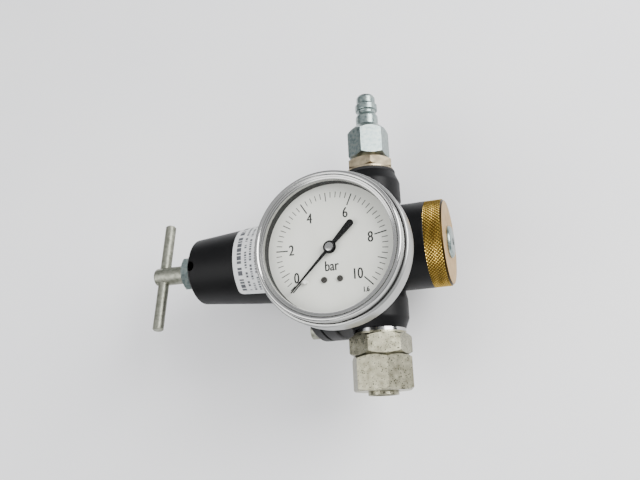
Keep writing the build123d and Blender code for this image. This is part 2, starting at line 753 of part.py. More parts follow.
# ------------------------------------------------------------------ gauge housing
def gauge_socket():
    floor_z = gauge_floor_z + 2 * screwed_room
    points = [(socket_bore_r, floor_z), (gauge_thread_r, floor_z)]
    points += [(gauge_thread_r, socket_hex_z), (socket_neck_r, socket_hex_z)]
    points += [(socket_neck_r, case_floor_z), (socket_bore_r, case_floor_z)]
    socket = turned(points, gauge)
    ring = tube(0, socket_neck_r, socket_hex_z, case_z, gauge)
    socket += hexagon(socket_af, socket_hex_z, case_z - case_gap, gauge, socket_turn) - ring
    arm = Pos(0, (block_end_y - bourdon_r) / 2, case_floor_z + block_h / 2)
    socket += gauge * arm * Box(block_w, bourdon_r + block_end_y, block_h)
    low = bourdon_r - lug_half
    high = bourdon_r + lug_half
    top = bourdon_z + bourdon_half_h + lug_over
    lug = turned([(low, case_floor_z), (high, case_floor_z), (high, top), (low, top)],
                 Plane.XY, arc=lug_span)
    socket += gauge * lug.rotate(Axis.Z, bourdon_from + bourdon_sweep)
    return socket - tube(0, socket_bore_r, case_floor_z, case_floor_z + block_h / 2, gauge)


def gauge_seal():
    return tube(gauge_thread_r, gauge_boss_r - rear_head_inset, gauge_boss_z, socket_hex_z, gauge)


def gauge_case():
    points = [(socket_neck_r, case_z), (case_r, case_z), (case_r, window_z + 1)]
    points += [(case_inner_r, window_z + 1), (case_inner_r, case_floor_z), (socket_neck_r, case_floor_z)]
    inside_corner = case_corner_r - case_wall
    case = turned(points, gauge, radii=[0, case_corner_r, 0.2, 0.2, inside_corner, 0])
    return case - blow_plug_hole()


def blow_plug_hole():
    inner = polar(case_inner_r - 2, blow_plug_angle)
    outer = polar(case_r + 2, blow_plug_angle)
    return gauge * drilled((*inner, blow_plug_z), (*outer, blow_plug_z), blow_plug_r)


def blowout_plug():
    inner = polar(case_inner_r - 1, blow_plug_angle)
    outer = polar(case_r + blow_plug_out, blow_plug_angle)
    plug = drilled((*inner, blow_plug_z), (*outer, blow_plug_z), blow_plug_r)
    plug = fillet(plug.edges().filter_by(GeomType.CIRCLE).sort_by(Axis((0, 0, 0), (*outer, 0)))[-1], 0.9)
    return gauge * plug


def gauge_bezel():
    inner_r = case_r + slip
    skirt_in_r = bezel_skirt_r - bezel_sheet
    top_r = (bezel_ring_r - window_open_r) / 2 - 0.05
    step_under = bezel_step_z - bezel_sheet - 0.4
    points = [(inner_r, bezel_z0), (bezel_skirt_r, bezel_z0), (bezel_skirt_r, bezel_step_z)]
    points += [(bezel_ring_r + 0.6, bezel_step_z), (bezel_ring_r + 0.1, bezel_step_z - 0.7)]
    points += [(bezel_ring_r, bezel_top_z), (window_open_r, bezel_top_z), (window_open_r, lip_z)]
    points += [(inner_r, lip_z), (inner_r, step_under), (skirt_in_r, step_under)]
    points += [(skirt_in_r, bezel_z0 + bezel_sheet), (inner_r, bezel_z0 + bezel_sheet)]
    radii = [0.2, 0.8, 0.9, 0.2, 0, top_r, top_r, 0, 0, 0, 0, 0, 0]
    return turned(points, gauge, radii=radii)


def gauge_window():
    return tube(0, case_inner_r - slip, window_z, lip_z, gauge)


def dial_ring():
    return tube(window_open_r + 0.1, case_inner_r - slip, dial_z, window_z, gauge)


def dial_plate():
    plate = tube(arbor_r + 0.9, case_inner_r - gap, dial_z - dial_t, dial_z, gauge)
    for side in (-1, 1):
        spot = gauge * Pos(side * dial_screw_x, dial_screw_y, 0)
        plate -= spot * tube(0, dial_screw_r, dial_z - dial_t, dial_z, Plane.XY)
    return plate - stop_pin_rod()


def dial_screws():
    screw = tube(0, dial_head_r, dial_z, dial_z + dial_head_t, Plane.XY)
    screw += tube(0, dial_screw_r, dial_z - dial_t - dial_grip, dial_z, Plane.XY)
    slot = Box(4 * dial_head_r, dial_slot, dial_slot)
    screw -= Pos(0, 0, dial_z + dial_head_t) * Rot(0, 0, dial_slot_turn) * slot
    return sum_of([gauge * Pos(side * dial_screw_x, dial_screw_y, 0) * screw for side in (-1, 1)])


def dial_posts():
    foot = dial_z - dial_t
    post = tube(0, dial_post_r, front_plate_top, foot, Plane.XY)
    post -= tube(0, dial_screw_r, foot - dial_grip, foot, Plane.XY)
    return sum_of([gauge * Pos(side * dial_screw_x, dial_screw_y, 0) * post for side in (-1, 1)])


def stop_pin_rod():
    clear = stop_r + pointer_root_w / 2
    turn = start_angle + math.degrees(clear / stop_at_r)
    spot = polar(stop_at_r, 90 + turn)
    return gauge * Pos(*spot, 0) * tube(0, stop_r, dial_z - dial_t, dial_z + stop_h, Plane.XY)


# ------------------------------------------------------------------ pointer and movement
def pointer():
    half = pointer_root_w / 2
    tip = pointer_tip_w / 2
    blade = Polygon((half, 0), (tip, pointer_len), (-tip, pointer_len), (-half, 0), align=None)
    tail = Polygon((-half, 0), (-tail_w / 2, -pointer_tail + tail_w / 2),
                   (tail_w / 2, -pointer_tail + tail_w / 2), (half, 0), align=None)
    tail += Pos(0, -pointer_tail + tail_w / 2) * Circle(tail_w / 2)
    shape = blade + tail + Circle(pointer_hub_r) - Circle(arbor_r)
    return gauge * Pos(0, 0, pointer_z) * Rot(0, 0, start_angle) * extrude(shape, pointer_t)


def pointer_hub():
    top = pointer_z + pointer_t
    points = [(0, top), (hub_cap_r, top), (hub_cap_r, top + hub_cap_t), (0, top + hub_cap_t)]
    return turned(points, gauge, radii=[0, 0, 0.4, 0])


def tooth_outline(teeth, addendum, centres):
    """Points of involute teeth at the given centres, in degrees, in turning order."""
    pitch_r = tooth_module * teeth / 2
    base_r = pitch_r * math.cos(pressure_angle)
    tip_r = pitch_r + addendum * tooth_module
    root_r = pitch_r - root_add * tooth_module
    half = math.pi / (2 * teeth) - tooth_play / (2 * pitch_r)
    low_r = max(base_r, root_r)
    steps = [low_r + (tip_r - low_r) * i / 5 for i in range(6)]
    flank = [(root_r, half + involute(base_r, pitch_r) - involute(base_r, low_r))]
    flank += [(r, half + involute(base_r, pitch_r) - involute(base_r, r)) for r in steps]
    points = []
    for centre in centres:
        points += [polar(r, centre - math.degrees(a)) for r, a in flank]
        points += [polar(r, centre + math.degrees(a)) for r, a in reversed(flank)]
    return [p for i, p in enumerate(points) if i == 0 or math.dist(p, points[i - 1]) > 1e-6]


def involute(base_r, radius):
    angle = math.acos(min(1, base_r / radius))
    return math.tan(angle) - angle


def pointer_arbor():
    pitch = 360 / pinion_teeth
    centres = [-90 + pitch * (i + 0.5) for i in range(pinion_teeth)]
    teeth = Polygon(*tooth_outline(pinion_teeth, pinion_add, centres), align=None)
    pinion = Pos(0, 0, sector_z - (pinion_t - sector_t) / 2) * extrude(teeth, pinion_t)
    shaft = tube(0, arbor_r, back_plate_z, pointer_z + pointer_t, Plane.XY)
    collet = tube(0, collet_r, hair_z, hair_z + hair_h, Plane.XY)
    return gauge * (pinion + shaft + collet)


def sector_gear():
    pitch = 360 / sector_teeth
    first = 90 - pitch * (sector_cut - 2)
    centres = [first + pitch * i for i in range(sector_cut)]
    blade = Polygon(*tooth_outline(sector_teeth, sector_add, centres), (0, 0), align=None)
    pin_spot = polar(tail_len, tail_at)
    arm = Rot(0, 0, tail_at) * Pos(tail_len / 2, 0) * Rectangle(tail_len, link_w)
    shape = blade + Circle(3 * sector_arbor_r) + arm + Pos(*pin_spot) * Circle(link_w / 2)
    solid = Pos(0, 0, sector_z) * extrude(shape - Circle(sector_arbor_r), sector_t)
    solid += Pos(*pin_spot, 0) * tube(0, tail_pin_r, link_z - 0.1, sector_z, Plane.XY)
    return gauge * Pos(0, sector_y, 0) * solid


def sector_arbor():
    return gauge * Pos(0, sector_y, 0) * tube(0, sector_arbor_r, back_plate_z, front_plate_top, Plane.XY)


def link_ends():
    """Places of the link's two holes: on the sector's tail pin and over the tube's free end."""
    pin = polar(tail_len, tail_at)
    free = polar(bourdon_r, bourdon_from - tip_span / 2)
    return (pin[0], pin[1] + sector_y), free


def link():
    start, end = link_ends()
    length = math.dist(start, end)
    angle = math.degrees(math.atan2(end[1] - start[1], end[0] - start[0]))
    shape = Pos(length / 2, 0) * Rectangle(length, link_w * 0.7)
    shape += Circle(link_w / 2) + Pos(length, 0) * Circle(link_w / 2)
    shape -= Circle(tail_pin_r + slip)
    shape -= Pos(length, 0) * Circle(tail_pin_r)
    return gauge * Pos(*start, link_z) * Rot(0, 0, angle) * extrude(shape, link_t)


def movement_plate(z0):
    middle = (plate_y0 + plate_y1) / 2
    shape = Pos(0, middle) * RectangleRounded(plate_w, plate_y1 - plate_y0, 2.5)
    shape -= Circle(arbor_r + slip)
    shape -= Pos(0, sector_y) * Circle(sector_arbor_r + slip)
    return gauge * Pos(0, 0, z0) * extrude(shape, plate_sheet)


def movement_pillars():
    rod = tube(0, pillar_r, back_plate_top, front_plate_z, Plane.XY)
    foot = tube(0, foot_r, case_floor_z + block_h, back_plate_z, Plane.XY)
    pieces = [gauge * Pos(*spot, 0) * rod for spot in pillar_spots]
    return sum_of(pieces + [gauge * Pos(*spot, 0) * foot for spot in foot_spots])


def hairspring():
    count = 24 * hair_turns
    span = hair_r1 - hair_r0
    line = [(hair_r0 + span * i / count, 15 * i) for i in range(count + 1)]
    outline = [polar(r + hair_sheet, a) for r, a in line]
    outline += [polar(r, a) for r, a in reversed(line)]
    return gauge * Pos(0, 0, hair_z) * extrude(Polygon(*outline, align=None), hair_h)


def bourdon_ring(half_w, half_h):
    section = Pos(bourdon_r, bourdon_z) * Ellipse(half_w, half_h)
    ring = revolve(Plane.XZ * section, Axis.Z, bourdon_sweep)
    return ring.rotate(Axis.Z, bourdon_from)


def bourdon_tube():
    hollow = bourdon_ring(bourdon_half_w - bourdon_skin, bourdon_half_h - bourdon_skin)
    return gauge * (bourdon_ring(bourdon_half_w, bourdon_half_h) - hollow)


def bourdon_tip():
    low = bourdon_r - tip_half
    high = bourdon_r + tip_half
    bottom = bourdon_z - bourdon_half_h - tip_over
    top = link_z - 2 * tip_over
    tip = turned([(low, bottom), (high, bottom), (high, top), (low, top)], Plane.XY, arc=tip_span)
    return gauge * tip.rotate(Axis.Z, bourdon_from - tip_span)


# ------------------------------------------------------------------ all nodes
def all_nodes():
    return {
        "body_casting": body_casting(),
        "bonnet": bonnet(),
        "bonnet_screws": bonnet_screws(),
        "label": label(),
        "diaphragm": diaphragm(),
        "diaphragm_plate": diaphragm_plate(),
        "spring_plate": spring_plate(),
        "diaphragm_nut": diaphragm_nut(),
        "range_spring": range_spring(),
        "upper_spring_seat": upper_spring_seat(),
        "adjusting_screw": adjusting_screw(),
        "tee_bar": tee_bar(),
        "lock_nut": lock_nut(),
        "seat_ring": seat_ring(),
        "valve_stem": valve_stem(),
        "valve_disc": valve_disc(),
        "valve_spring": valve_spring(),
        "brass_cap": brass_cap(),
        "cap_oring": cap_oring(),
        "centre_plug": centre_plug(),
        "rear_port_plug": rear_port_plug(),
        "inlet_seal": port_seal(inlet),
        "inlet_nipple": inlet_nipple(),
        "quick_plug": quick_plug(),
        "outlet_seal": port_seal(outlet),
        "outlet_stud": outlet_stud(),
        "cutting_ring": cutting_ring(),
        "compression_nut": compression_nut(),
        "tube_stub": tube_stub(),
        "gauge_socket": gauge_socket(),
        "gauge_seal": gauge_seal(),
        "gauge_case": gauge_case(),
        "blowout_plug": blowout_plug(),
        "gauge_bezel": gauge_bezel(),
        "gauge_window": gauge_window(),
        "dial_ring": dial_ring(),
        "dial_plate": dial_plate(),
        "dial_screws": dial_screws(),
        "dial_posts": dial_posts(),
        "stop_pin": stop_pin_rod(),
        "pointer": pointer(),
        "pointer_hub": pointer_hub(),
        "pointer_arbor": pointer_arbor(),
        "hairspring": hairspring(),
        "sector_gear": sector_gear(),
        "sector_arbor": sector_arbor(),
        "movement_back_plate": movement_plate(back_plate_z),
        "movement_front_plate": movement_plate(front_plate_z),
        "movement_pillars": movement_pillars(),
        "link": link(),
        "bourdon_tube": bourdon_tube(),
        "bourdon_tip": bourdon_tip(),
    }


def origin_shift(nodes):
    """Moves the middle of the whole object's lowest face to the origin."""
    box = Compound(children=[Compound(shape.solids()) for shape in nodes.values()]).bounding_box()
    return Pos(-box.center().X, -box.center().Y, -box.min.Z)


os.makedirs("parts", exist_ok=True)
nodes = all_nodes()
shift = origin_shift(nodes)
for name, shape in nodes.items():
    export_step(shift * Compound(shape.solids()), f"parts/{name}.step")
print("moved by", shift.position)
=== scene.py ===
import math
import random

import bpy
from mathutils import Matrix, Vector


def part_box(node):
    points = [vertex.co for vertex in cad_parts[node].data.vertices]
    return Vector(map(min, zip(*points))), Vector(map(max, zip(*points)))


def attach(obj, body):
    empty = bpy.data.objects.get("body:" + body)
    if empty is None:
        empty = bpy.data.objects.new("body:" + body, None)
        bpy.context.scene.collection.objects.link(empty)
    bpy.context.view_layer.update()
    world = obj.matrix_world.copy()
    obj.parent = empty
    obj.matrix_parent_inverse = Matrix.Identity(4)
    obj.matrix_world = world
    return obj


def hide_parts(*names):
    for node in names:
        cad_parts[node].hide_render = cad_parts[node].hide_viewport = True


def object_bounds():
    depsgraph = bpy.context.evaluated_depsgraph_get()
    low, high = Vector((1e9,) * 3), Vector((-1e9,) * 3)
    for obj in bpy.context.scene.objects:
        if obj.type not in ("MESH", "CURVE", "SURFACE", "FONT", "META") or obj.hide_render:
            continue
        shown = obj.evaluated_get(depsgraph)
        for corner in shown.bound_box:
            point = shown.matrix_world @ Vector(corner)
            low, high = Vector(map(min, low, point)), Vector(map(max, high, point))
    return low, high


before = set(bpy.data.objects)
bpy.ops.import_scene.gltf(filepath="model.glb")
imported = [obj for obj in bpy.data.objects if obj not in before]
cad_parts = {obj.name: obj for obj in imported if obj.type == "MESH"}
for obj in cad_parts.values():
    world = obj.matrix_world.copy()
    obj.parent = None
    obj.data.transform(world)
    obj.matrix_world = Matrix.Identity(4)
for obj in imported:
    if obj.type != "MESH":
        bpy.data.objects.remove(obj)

cad_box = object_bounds()


# Body casting. Die-cast aluminium with an epoxy powder coat: satin black, with the very fine
# orange-peel skin that baked powder leaves. The gauge, both fittings and the cap are screwed into
# it, and the bonnet is screwed onto its flange.
MM = 0.001


def linear(code):
    """Linear colour of an sRGB hex value."""
    parts = [int(code[i:i + 2], 16) / 255 for i in (0, 2, 4)]
    return [c / 12.92 if c <= 0.04045 else ((c + 0.055) / 1.055) ** 2.4 for c in parts] + [1]


def add(tree, kind, values=None, links=None, **settings):
    """Adds one node with its settings, its values and the outputs linked into it."""
    node = tree.nodes.new(kind)
    for name, value in settings.items():
        setattr(node, name, value)
    for socket, value in (values or {}).items():
        node.inputs[socket].default_value = value
    for socket, output in (links or {}).items():
        tree.links.new(output, node.inputs[socket])
    return node


def new_surface(name, code, metallic, roughness, **sockets):
    """Material with one Principled shader of that colour; returns it with its tree and shader."""
    material = bpy.data.materials.new(name)
    material.use_nodes = True
    tree = material.node_tree
    shader = tree.nodes["Principled BSDF"]
    values = {"Base Color": linear(code), "Metallic": metallic, "Roughness": roughness, **sockets}
    for socket, value in values.items():
        shader.inputs[socket].default_value = value
    return material, tree, shader


def noise_at(tree, size_mm, stretch=(1, 1, 1), detail=3.0):
    """Noise whose lumps are about that many millimetres across, stretched along the axes."""
    place = add(tree, "ShaderNodeTexCoord")
    scale = [s / (size_mm * MM) for s in stretch]
    spread = add(tree, "ShaderNodeMapping", {"Scale": scale}, {"Vector": place.outputs["Object"]})
    return add(tree, "ShaderNodeTexNoise", {"Scale": 1.0, "Detail": detail},
               {"Vector": spread.outputs["Vector"]}).outputs["Fac"]


def emboss(tree, shader, height, depth_mm, strength=1.0):
    """Bumps the surface by a pattern of that depth."""
    bump = add(tree, "ShaderNodeBump", {"Distance": depth_mm * MM, "Strength": strength},
               {"Height": height})
    tree.links.new(bump.outputs["Normal"], shader.inputs["Normal"])


def blend_colour(tree, shader, factor, stops):
    """Colours the surface by a pattern: stops are (place, hex) pairs."""
    ramp = add(tree, "ShaderNodeValToRGB", links={"Fac": factor})
    points = ramp.color_ramp.elements
    while len(points) < len(stops):
        points.new(0.5)
    for point, (place, code) in zip(points, stops):
        point.position = place
        point.color = linear(code)
    tree.links.new(ramp.outputs["Color"], shader.inputs["Base Color"])


def vary_gloss(tree, shader, factor, low, high):
    """Lets the roughness wander between two values by a pattern."""
    spread = add(tree, "ShaderNodeMapRange", {"To Min": low, "To Max": high}, {"Value": factor})
    tree.links.new(spread.outputs["Result"], shader.inputs["Roughness"])


def powder_coat():
    """Black epoxy powder coat, baked: satin, with an orange peel of about 0.8 mm."""
    material, tree, shader = new_surface("black_powder_coat", "080809", 0.0, 0.46,
                                         **{"Specular IOR Level": 0.15})
    emboss(tree, shader, noise_at(tree, 0.8), 0.012)
    cloud = noise_at(tree, 9, detail=5)
    blend_colour(tree, shader, cloud, [(0.3, "060607"), (0.75, "0C0C0D")])
    vary_gloss(tree, shader, cloud, 0.38, 0.54)
    return material


def dress(material, *names):
    """Gives CAD nodes a material."""
    for name in names:
        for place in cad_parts[name].material_slots:
            place.material = material


powder_black = powder_coat()
dress(powder_black, "body_casting")

body_low, body_high = (Vector(corner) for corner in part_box("body_casting"))
nipple_low, nipple_high = (Vector(corner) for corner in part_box("inlet_nipple"))
crossing = Vector(((nipple_low.x + nipple_high.x) / 2, (body_low.y + body_high.y) / 2,
                   (body_low.z + body_high.z) / 2))


# Diaphragm and its stack. A disc of fabric-reinforced nitrile rubber, matt black, clamped between
# the two flanges, where its edge shows as a dark line. An aluminium plate, a zinc-plated spring
# plate and a nut hold its middle.
def nitrile_rubber():
    """Moulded nitrile rubber: matt black with a fine mould texture."""
    material, tree, shader = new_surface("nitrile_rubber", "141414", 0.0, 0.8)
    emboss(tree, shader, noise_at(tree, 0.5), 0.02)
    vary_gloss(tree, shader, noise_at(tree, 4), 0.68, 0.88)
    return material


def turned_aluminium():
    """Turned aluminium: pale, with faint tool marks 0.2 mm apart."""
    material, tree, shader = new_surface("turned_aluminium", "C9CBCD", 1.0, 0.34)
    emboss(tree, shader, noise_at(tree, 0.2, (1, 0.1, 0.1)), 0.01)
    vary_gloss(tree, shader, noise_at(tree, 5), 0.28, 0.42)
    return material


def yellow_zinc():
    """Zinc plating with a yellow chromate: straw brown with blotches of a few millimetres."""
    material, tree, shader = new_surface("yellow_chromate_zinc", "A98B52", 1.0, 0.4)
    cloud = noise_at(tree, 3, detail=5)
    blend_colour(tree, shader, cloud, [(0.3, "8A6C3C"), (0.55, "B79A5E"), (0.8, "A89A72")])
    vary_gloss(tree, shader, cloud, 0.3, 0.5)
    return material


rubber = nitrile_rubber()
chromate = yellow_zinc()
dress(rubber, "diaphragm")
dress(turned_aluminium(), "diaphragm_plate")
dress(chromate, "spring_plate")


# Bonnet and its screws. The bonnet is cast and coated as the body is, and tapers towards the
# handle, with a vent hole near its end. Socket screws of zinc-plated steel, dulled by age, clamp
# its flange, the diaphragm and the body together.
def dull_zinc():
    """Zinc plating on steel, aged: grey with a warm cast, blotches of 2 mm and handling marks."""
    material, tree, shader = new_surface("aged_zinc_plate", "8A8B7E", 1.0, 0.42)
    cloud = noise_at(tree, 2.2, detail=6)
    blend_colour(tree, shader, cloud, [(0.28, "6A6B60"), (0.5, "8A8B7F"), (0.75, "9C9D90")])
    vary_gloss(tree, shader, noise_at(tree, 1.1, detail=5), 0.32, 0.56)
    emboss(tree, shader, noise_at(tree, 0.35, (1, 0.25, 1)), 0.015)
    return material


zinc = dull_zinc()
dress(powder_black, "bonnet")
dress(zinc, "bonnet_screws", "diaphragm_nut", "rear_port_plug")


# Label. A printed polyester film, 0.15 mm thick, wrapped round the bonnet with rounded corners.
# It is cut again here as a fine curved sheet, and its print is only rows of plain dashes.
LABEL_STEPS = (36, 96)
LABEL_CORNER = 2.5 * MM
LABEL_TOP_INSET = 0.01 * MM
LABEL_BACK_INSET = 0.12 * MM
LABEL_BEND = 67 * MM
EDGE_NEAR = 0.1 * MM
BEND_NEAR = 0.3 * MM
LABEL_PRINT_LIFT = 0.02 * MM
# Rows of print as shares of the label: where each starts across it, its height, its usual dash.
SMALL_ROW = (0.050, 0.018)
LABEL_ROWS = [(0.10, 0.100, 0.034), (0.27, *SMALL_ROW), (0.38, *SMALL_ROW), (0.49, *SMALL_ROW),
              (0.60, *SMALL_ROW), (0.75, 0.075, 0.026)]
PRINT_FROM = 0.05
PRINT_TO = 0.93
PRINT_STEP = 0.01
PRINT_GAPS = [0.010, 0.010, 0.04]
DASH_SPREAD = (0.5, 1.5)


def new_piece(name, points, faces, material, body, slot, smooth=False):
    """Object of a mesh with one material, riding on a body; its slot is not used."""
    mesh = bpy.data.meshes.new(name)
    mesh.from_pydata([tuple(p) for p in points], [], faces)
    mesh.materials.append(material)
    mesh.polygons.foreach_set("use_smooth", [smooth] * len(mesh.polygons))
    mesh.update()
    piece = bpy.data.objects.new(name, mesh)
    bpy.context.scene.collection.objects.link(piece)
    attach(piece, body)
    return piece


def polyester_film():
    """White printed polyester: satin, hardly any texture, faintly cloudy."""
    material, tree, shader = new_surface("white_polyester_film", "D3D4D4", 0.0, 0.38)
    blend_colour(tree, shader, noise_at(tree, 6), [(0.3, "CBCDCE"), (0.7, "DADBDA")])
    emboss(tree, shader, noise_at(tree, 1.2), 0.006)
    return material


def print_ink(name, code):
    """Screen-printed ink: nearly matt, with a slightly uneven gloss."""
    material, tree, shader = new_surface(name, code, 0.0, 0.6)
    vary_gloss(tree, shader, noise_at(tree, 0.8), 0.5, 0.7)
    return material


def label_shape():
    """Outline of the CAD label: its x range, its angles round the axis, and its outer radii at
    the handle end, where the bonnet's outline bends, and at the other end."""
    spots = [v.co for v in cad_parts["label"].data.vertices]
    xs = [p.x for p in spots]
    turns = [math.atan2(p.y - crossing.y, p.z - crossing.z) for p in spots]
    reach = [math.hypot(p.y - crossing.y, p.z - crossing.z) for p in spots]
    lefts = [r for p, r in zip(spots, reach) if p.x < min(xs) + EDGE_NEAR]
    rights = [r for p, r in zip(spots, reach) if p.x > max(xs) - EDGE_NEAR]
    middle = [r for p, r in zip(spots, reach) if abs(p.x - (crossing.x - LABEL_BEND)) < BEND_NEAR]
    return (min(xs), max(xs)), (min(turns), max(turns)), (max(lefts), max(middle), max(rights))


def on_label(across, along, lift):
    """Point of the label's outer face: across runs from its handle end, along runs round it."""
    (x0, x1), (a0, a1), (r0, rm, r1) = label_outline
    x = x0 + (x1 - x0) * across
    bend = (crossing.x - LABEL_BEND - x0) / (x1 - x0)
    if across < bend:
        r = r0 + (rm - r0) * across / bend
    else:
        r = rm + (r1 - rm) * (across - bend) / (1 - bend)
    a = a0 + (a1 - a0) * along
    return Vector((x, crossing.y + (r + lift) * math.sin(a), crossing.z + (r + lift) * math.cos(a)))


def rounded(across, along, length, width):
    """Pulls a point of the unit square inside the outline with rounded corners."""
    px, py = across * length, along * width
    cx = min(max(px, LABEL_CORNER), length - LABEL_CORNER)
    cy = min(max(py, LABEL_CORNER), width - LABEL_CORNER)
    reach = math.hypot(px - cx, py - cy)
    if reach > LABEL_CORNER:
        px = cx + (px - cx) * LABEL_CORNER / reach
        py = cy + (py - cy) * LABEL_CORNER / reach
    return px / length, py / width


def sheet_faces(nu, nv):
    """Faces of a grid of nu by nv cells whose points run v fastest."""
    step = nv + 1
    return [(i * step + j, (i + 1) * step + j, (i + 1) * step + j + 1, i * step + j + 1)
            for i in range(nu) for j in range(nv)]


def make_label():
    """Curved sheet with rounded corners: its printed face, its back and the rim between them."""
    nu, nv = LABEL_STEPS
    (x0, x1), (a0, a1), radii = label_outline
    length, width = x1 - x0, (a1 - a0) * radii[1]
    grid = [rounded(i / nu, j / nv, length, width) for i in range(nu + 1) for j in range(nv + 1)]
    top = [on_label(u, v, -LABEL_TOP_INSET) for u, v in grid]
    under = [on_label(u, v, -LABEL_BACK_INSET) for u, v in grid]
    faces = sheet_faces(nu, nv)
    count = len(top)
    faces += [tuple(count + k for k in reversed(face)) for face in faces]
    row = nv + 1
    rim = list(range(row)) + [i * row + nv for i in range(1, nu + 1)]
    rim += [nu * row + j for j in range(nv - 1, -1, -1)] + [i * row for i in range(nu - 1, 0, -1)]
    faces += [(rim[k - 1], rim[k], count + rim[k], count + rim[k - 1]) for k in range(len(rim))]
    film = polyester_film()
    piece = new_piece("label_film", top + under, faces, film, "valve_body", "label_film")
    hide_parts("label")


def make_label_print():
    """Rows of dashes of chance lengths, which run round the bonnet."""
    dice = random.Random(4)
    points, faces = [], []
    for across, height, usual in LABEL_ROWS:
        along = PRINT_FROM
        while along < PRINT_TO:
            length = usual * dice.uniform(*DASH_SPREAD)
            steps = max(1, round(length / PRINT_STEP))
            first = len(points)
            for i in range(steps + 1):
                v = along + length * i / steps
                points += [on_label(u, v, LABEL_PRINT_LIFT) for u in (across, across + height)]
            starts = [first + 2 * i for i in range(steps)]
            faces += [(k, k + 1, k + 3, k + 2) for k in starts]
            along += length + dice.choice(PRINT_GAPS)
    ink = print_ink("grey_label_ink", "4A4C50")
    new_piece("label_print", points, faces, ink, "valve_body", "label_film")


label_outline = label_shape()
make_label()
make_label_print()


# Range spring and its upper seat. A heavy coil of oil-tempered spring steel pushes on the
# diaphragm; a plated seat above it takes the point of the adjusting screw. The valve's own small
# spring is of the same wire.
def spring_steel():
    """Oil-tempered wire: brown-grey with a dull sheen."""
    material, tree, shader = new_surface("oil_tempered_wire", "6E6252", 1.0, 0.45)
    vary_gloss(tree, shader, noise_at(tree, 1.0), 0.35, 0.55)
    emboss(tree, shader, noise_at(tree, 0.4), 0.01)
    return material


dress(spring_steel(), "range_spring", "valve_spring")
dress(chromate, "upper_spring_seat")


# Adjusting screw, T-bar and lock nut. Zinc-plated steel: the bar is pressed through the screw,
# and the nut locks the screw against the bonnet. The nut's plating is newer and bluer.
def blue_zinc():
    """Zinc plating with a clear chromate: bright, faintly blue, with flow marks of 1.5 mm."""
    material, tree, shader = new_surface("clear_chromate_zinc", "8D9A98", 1.0, 0.3)
    cloud = noise_at(tree, 1.6, detail=6)
    blend_colour(tree, shader, cloud, [(0.3, "6C7A79"), (0.52, "8D9A98"), (0.78, "A4ABA2")])
    vary_gloss(tree, shader, cloud, 0.22, 0.42)
    emboss(tree, shader, noise_at(tree, 0.5), 0.008)
    return material


bright_zinc = blue_zinc()
dress(zinc, "adjusting_screw", "tee_bar")
dress(bright_zinc, "lock_nut")


# Inner valve. Turned brass: the seat screwed into the body's wall, and the stem that carries a
# rubber disc. They are sealed inside, and show only when the part is opened.
def turned_brass():
    """Turned brass: yellow, fine tool marks, a little darkened where it has been handled."""
    material, tree, shader = new_surface("turned_brass", "C4A254", 1.0, 0.32)
    cloud = noise_at(tree, 3.5, detail=5)
    blend_colour(tree, shader, cloud, [(0.3, "B08E44"), (0.6, "C9A85C"), (0.85, "D2B571")])
    vary_gloss(tree, shader, cloud, 0.26, 0.42)
    emboss(tree, shader, noise_at(tree, 0.25), 0.006)
    return material


brass = turned_brass()
dress(brass, "seat_ring", "valve_stem")
dress(rubber, "valve_disc", "cap_oring")


# Brass cap. Turned from brass bar and screwed into the body's end over an O-ring. A diamond knurl
# of 1.7 mm pitch is rolled round it for the hand, up to a narrow chamfer; its face is turned flat.
KNURL_PITCH = 1.7 * MM
KNURL_DEPTH = 0.5 * MM
KNURL_SAMPLES = 6
CAP_CHAMFER = 1.0 * MM
CAP_FACE_BLEND = 0.25 * MM
CAP_FACE_DROP = CAP_FACE_BLEND / 4
CAP_SPIGOT_SHARE = 0.78
CAP_BORE_SHARE = 0.3
PLUG_SHANK_R = 6 * MM
PLUG_RECESS = 3 * MM
FACE_RING_SPACING = 0.594 * MM
WAVE_PERIOD = math.pi / 10


def axis_point(around, height, axis):
    """Offset of a point at a height along x, y or z, with a place around that axis."""
    if axis == "x":
        return Vector((height, around[0], around[1]))
    if axis == "y":
        return Vector((around[1], height, around[0]))
    return Vector((around[0], around[1], height))


def turned_mesh(profile, segments, centre, axis):
    """Points and faces of an outline of (radius, height) pairs turned once round an axis."""
    points = []
    for radius, height in profile:
        for k in range(segments):
            turn = 2 * math.pi * k / segments
            around = (radius * math.cos(turn), radius * math.sin(turn))
            points.append(centre + axis_point(around, height, axis))
    faces = []
    for low in range(0, (len(profile) - 1) * segments, segments):
        high = low + segments
        for k in range(segments):
            n = (k + 1) % segments
            faces.append((low + k, low + n, high + n, high + k))
    return points, faces


def knurl_height(turn, along, radius):
    """Depth below the crests of a diamond knurl at a place on a cylinder."""
    ridges = round(2 * math.pi * radius / KNURL_PITCH)
    twist = along / KNURL_PITCH
    heights = []
    for sense in (-1, 1):
        share = (turn / (2 * math.pi) * ridges + sense * twist) % 1
        heights.append(2 * abs(share - 0.5))
    return KNURL_DEPTH * (1 - min(heights))


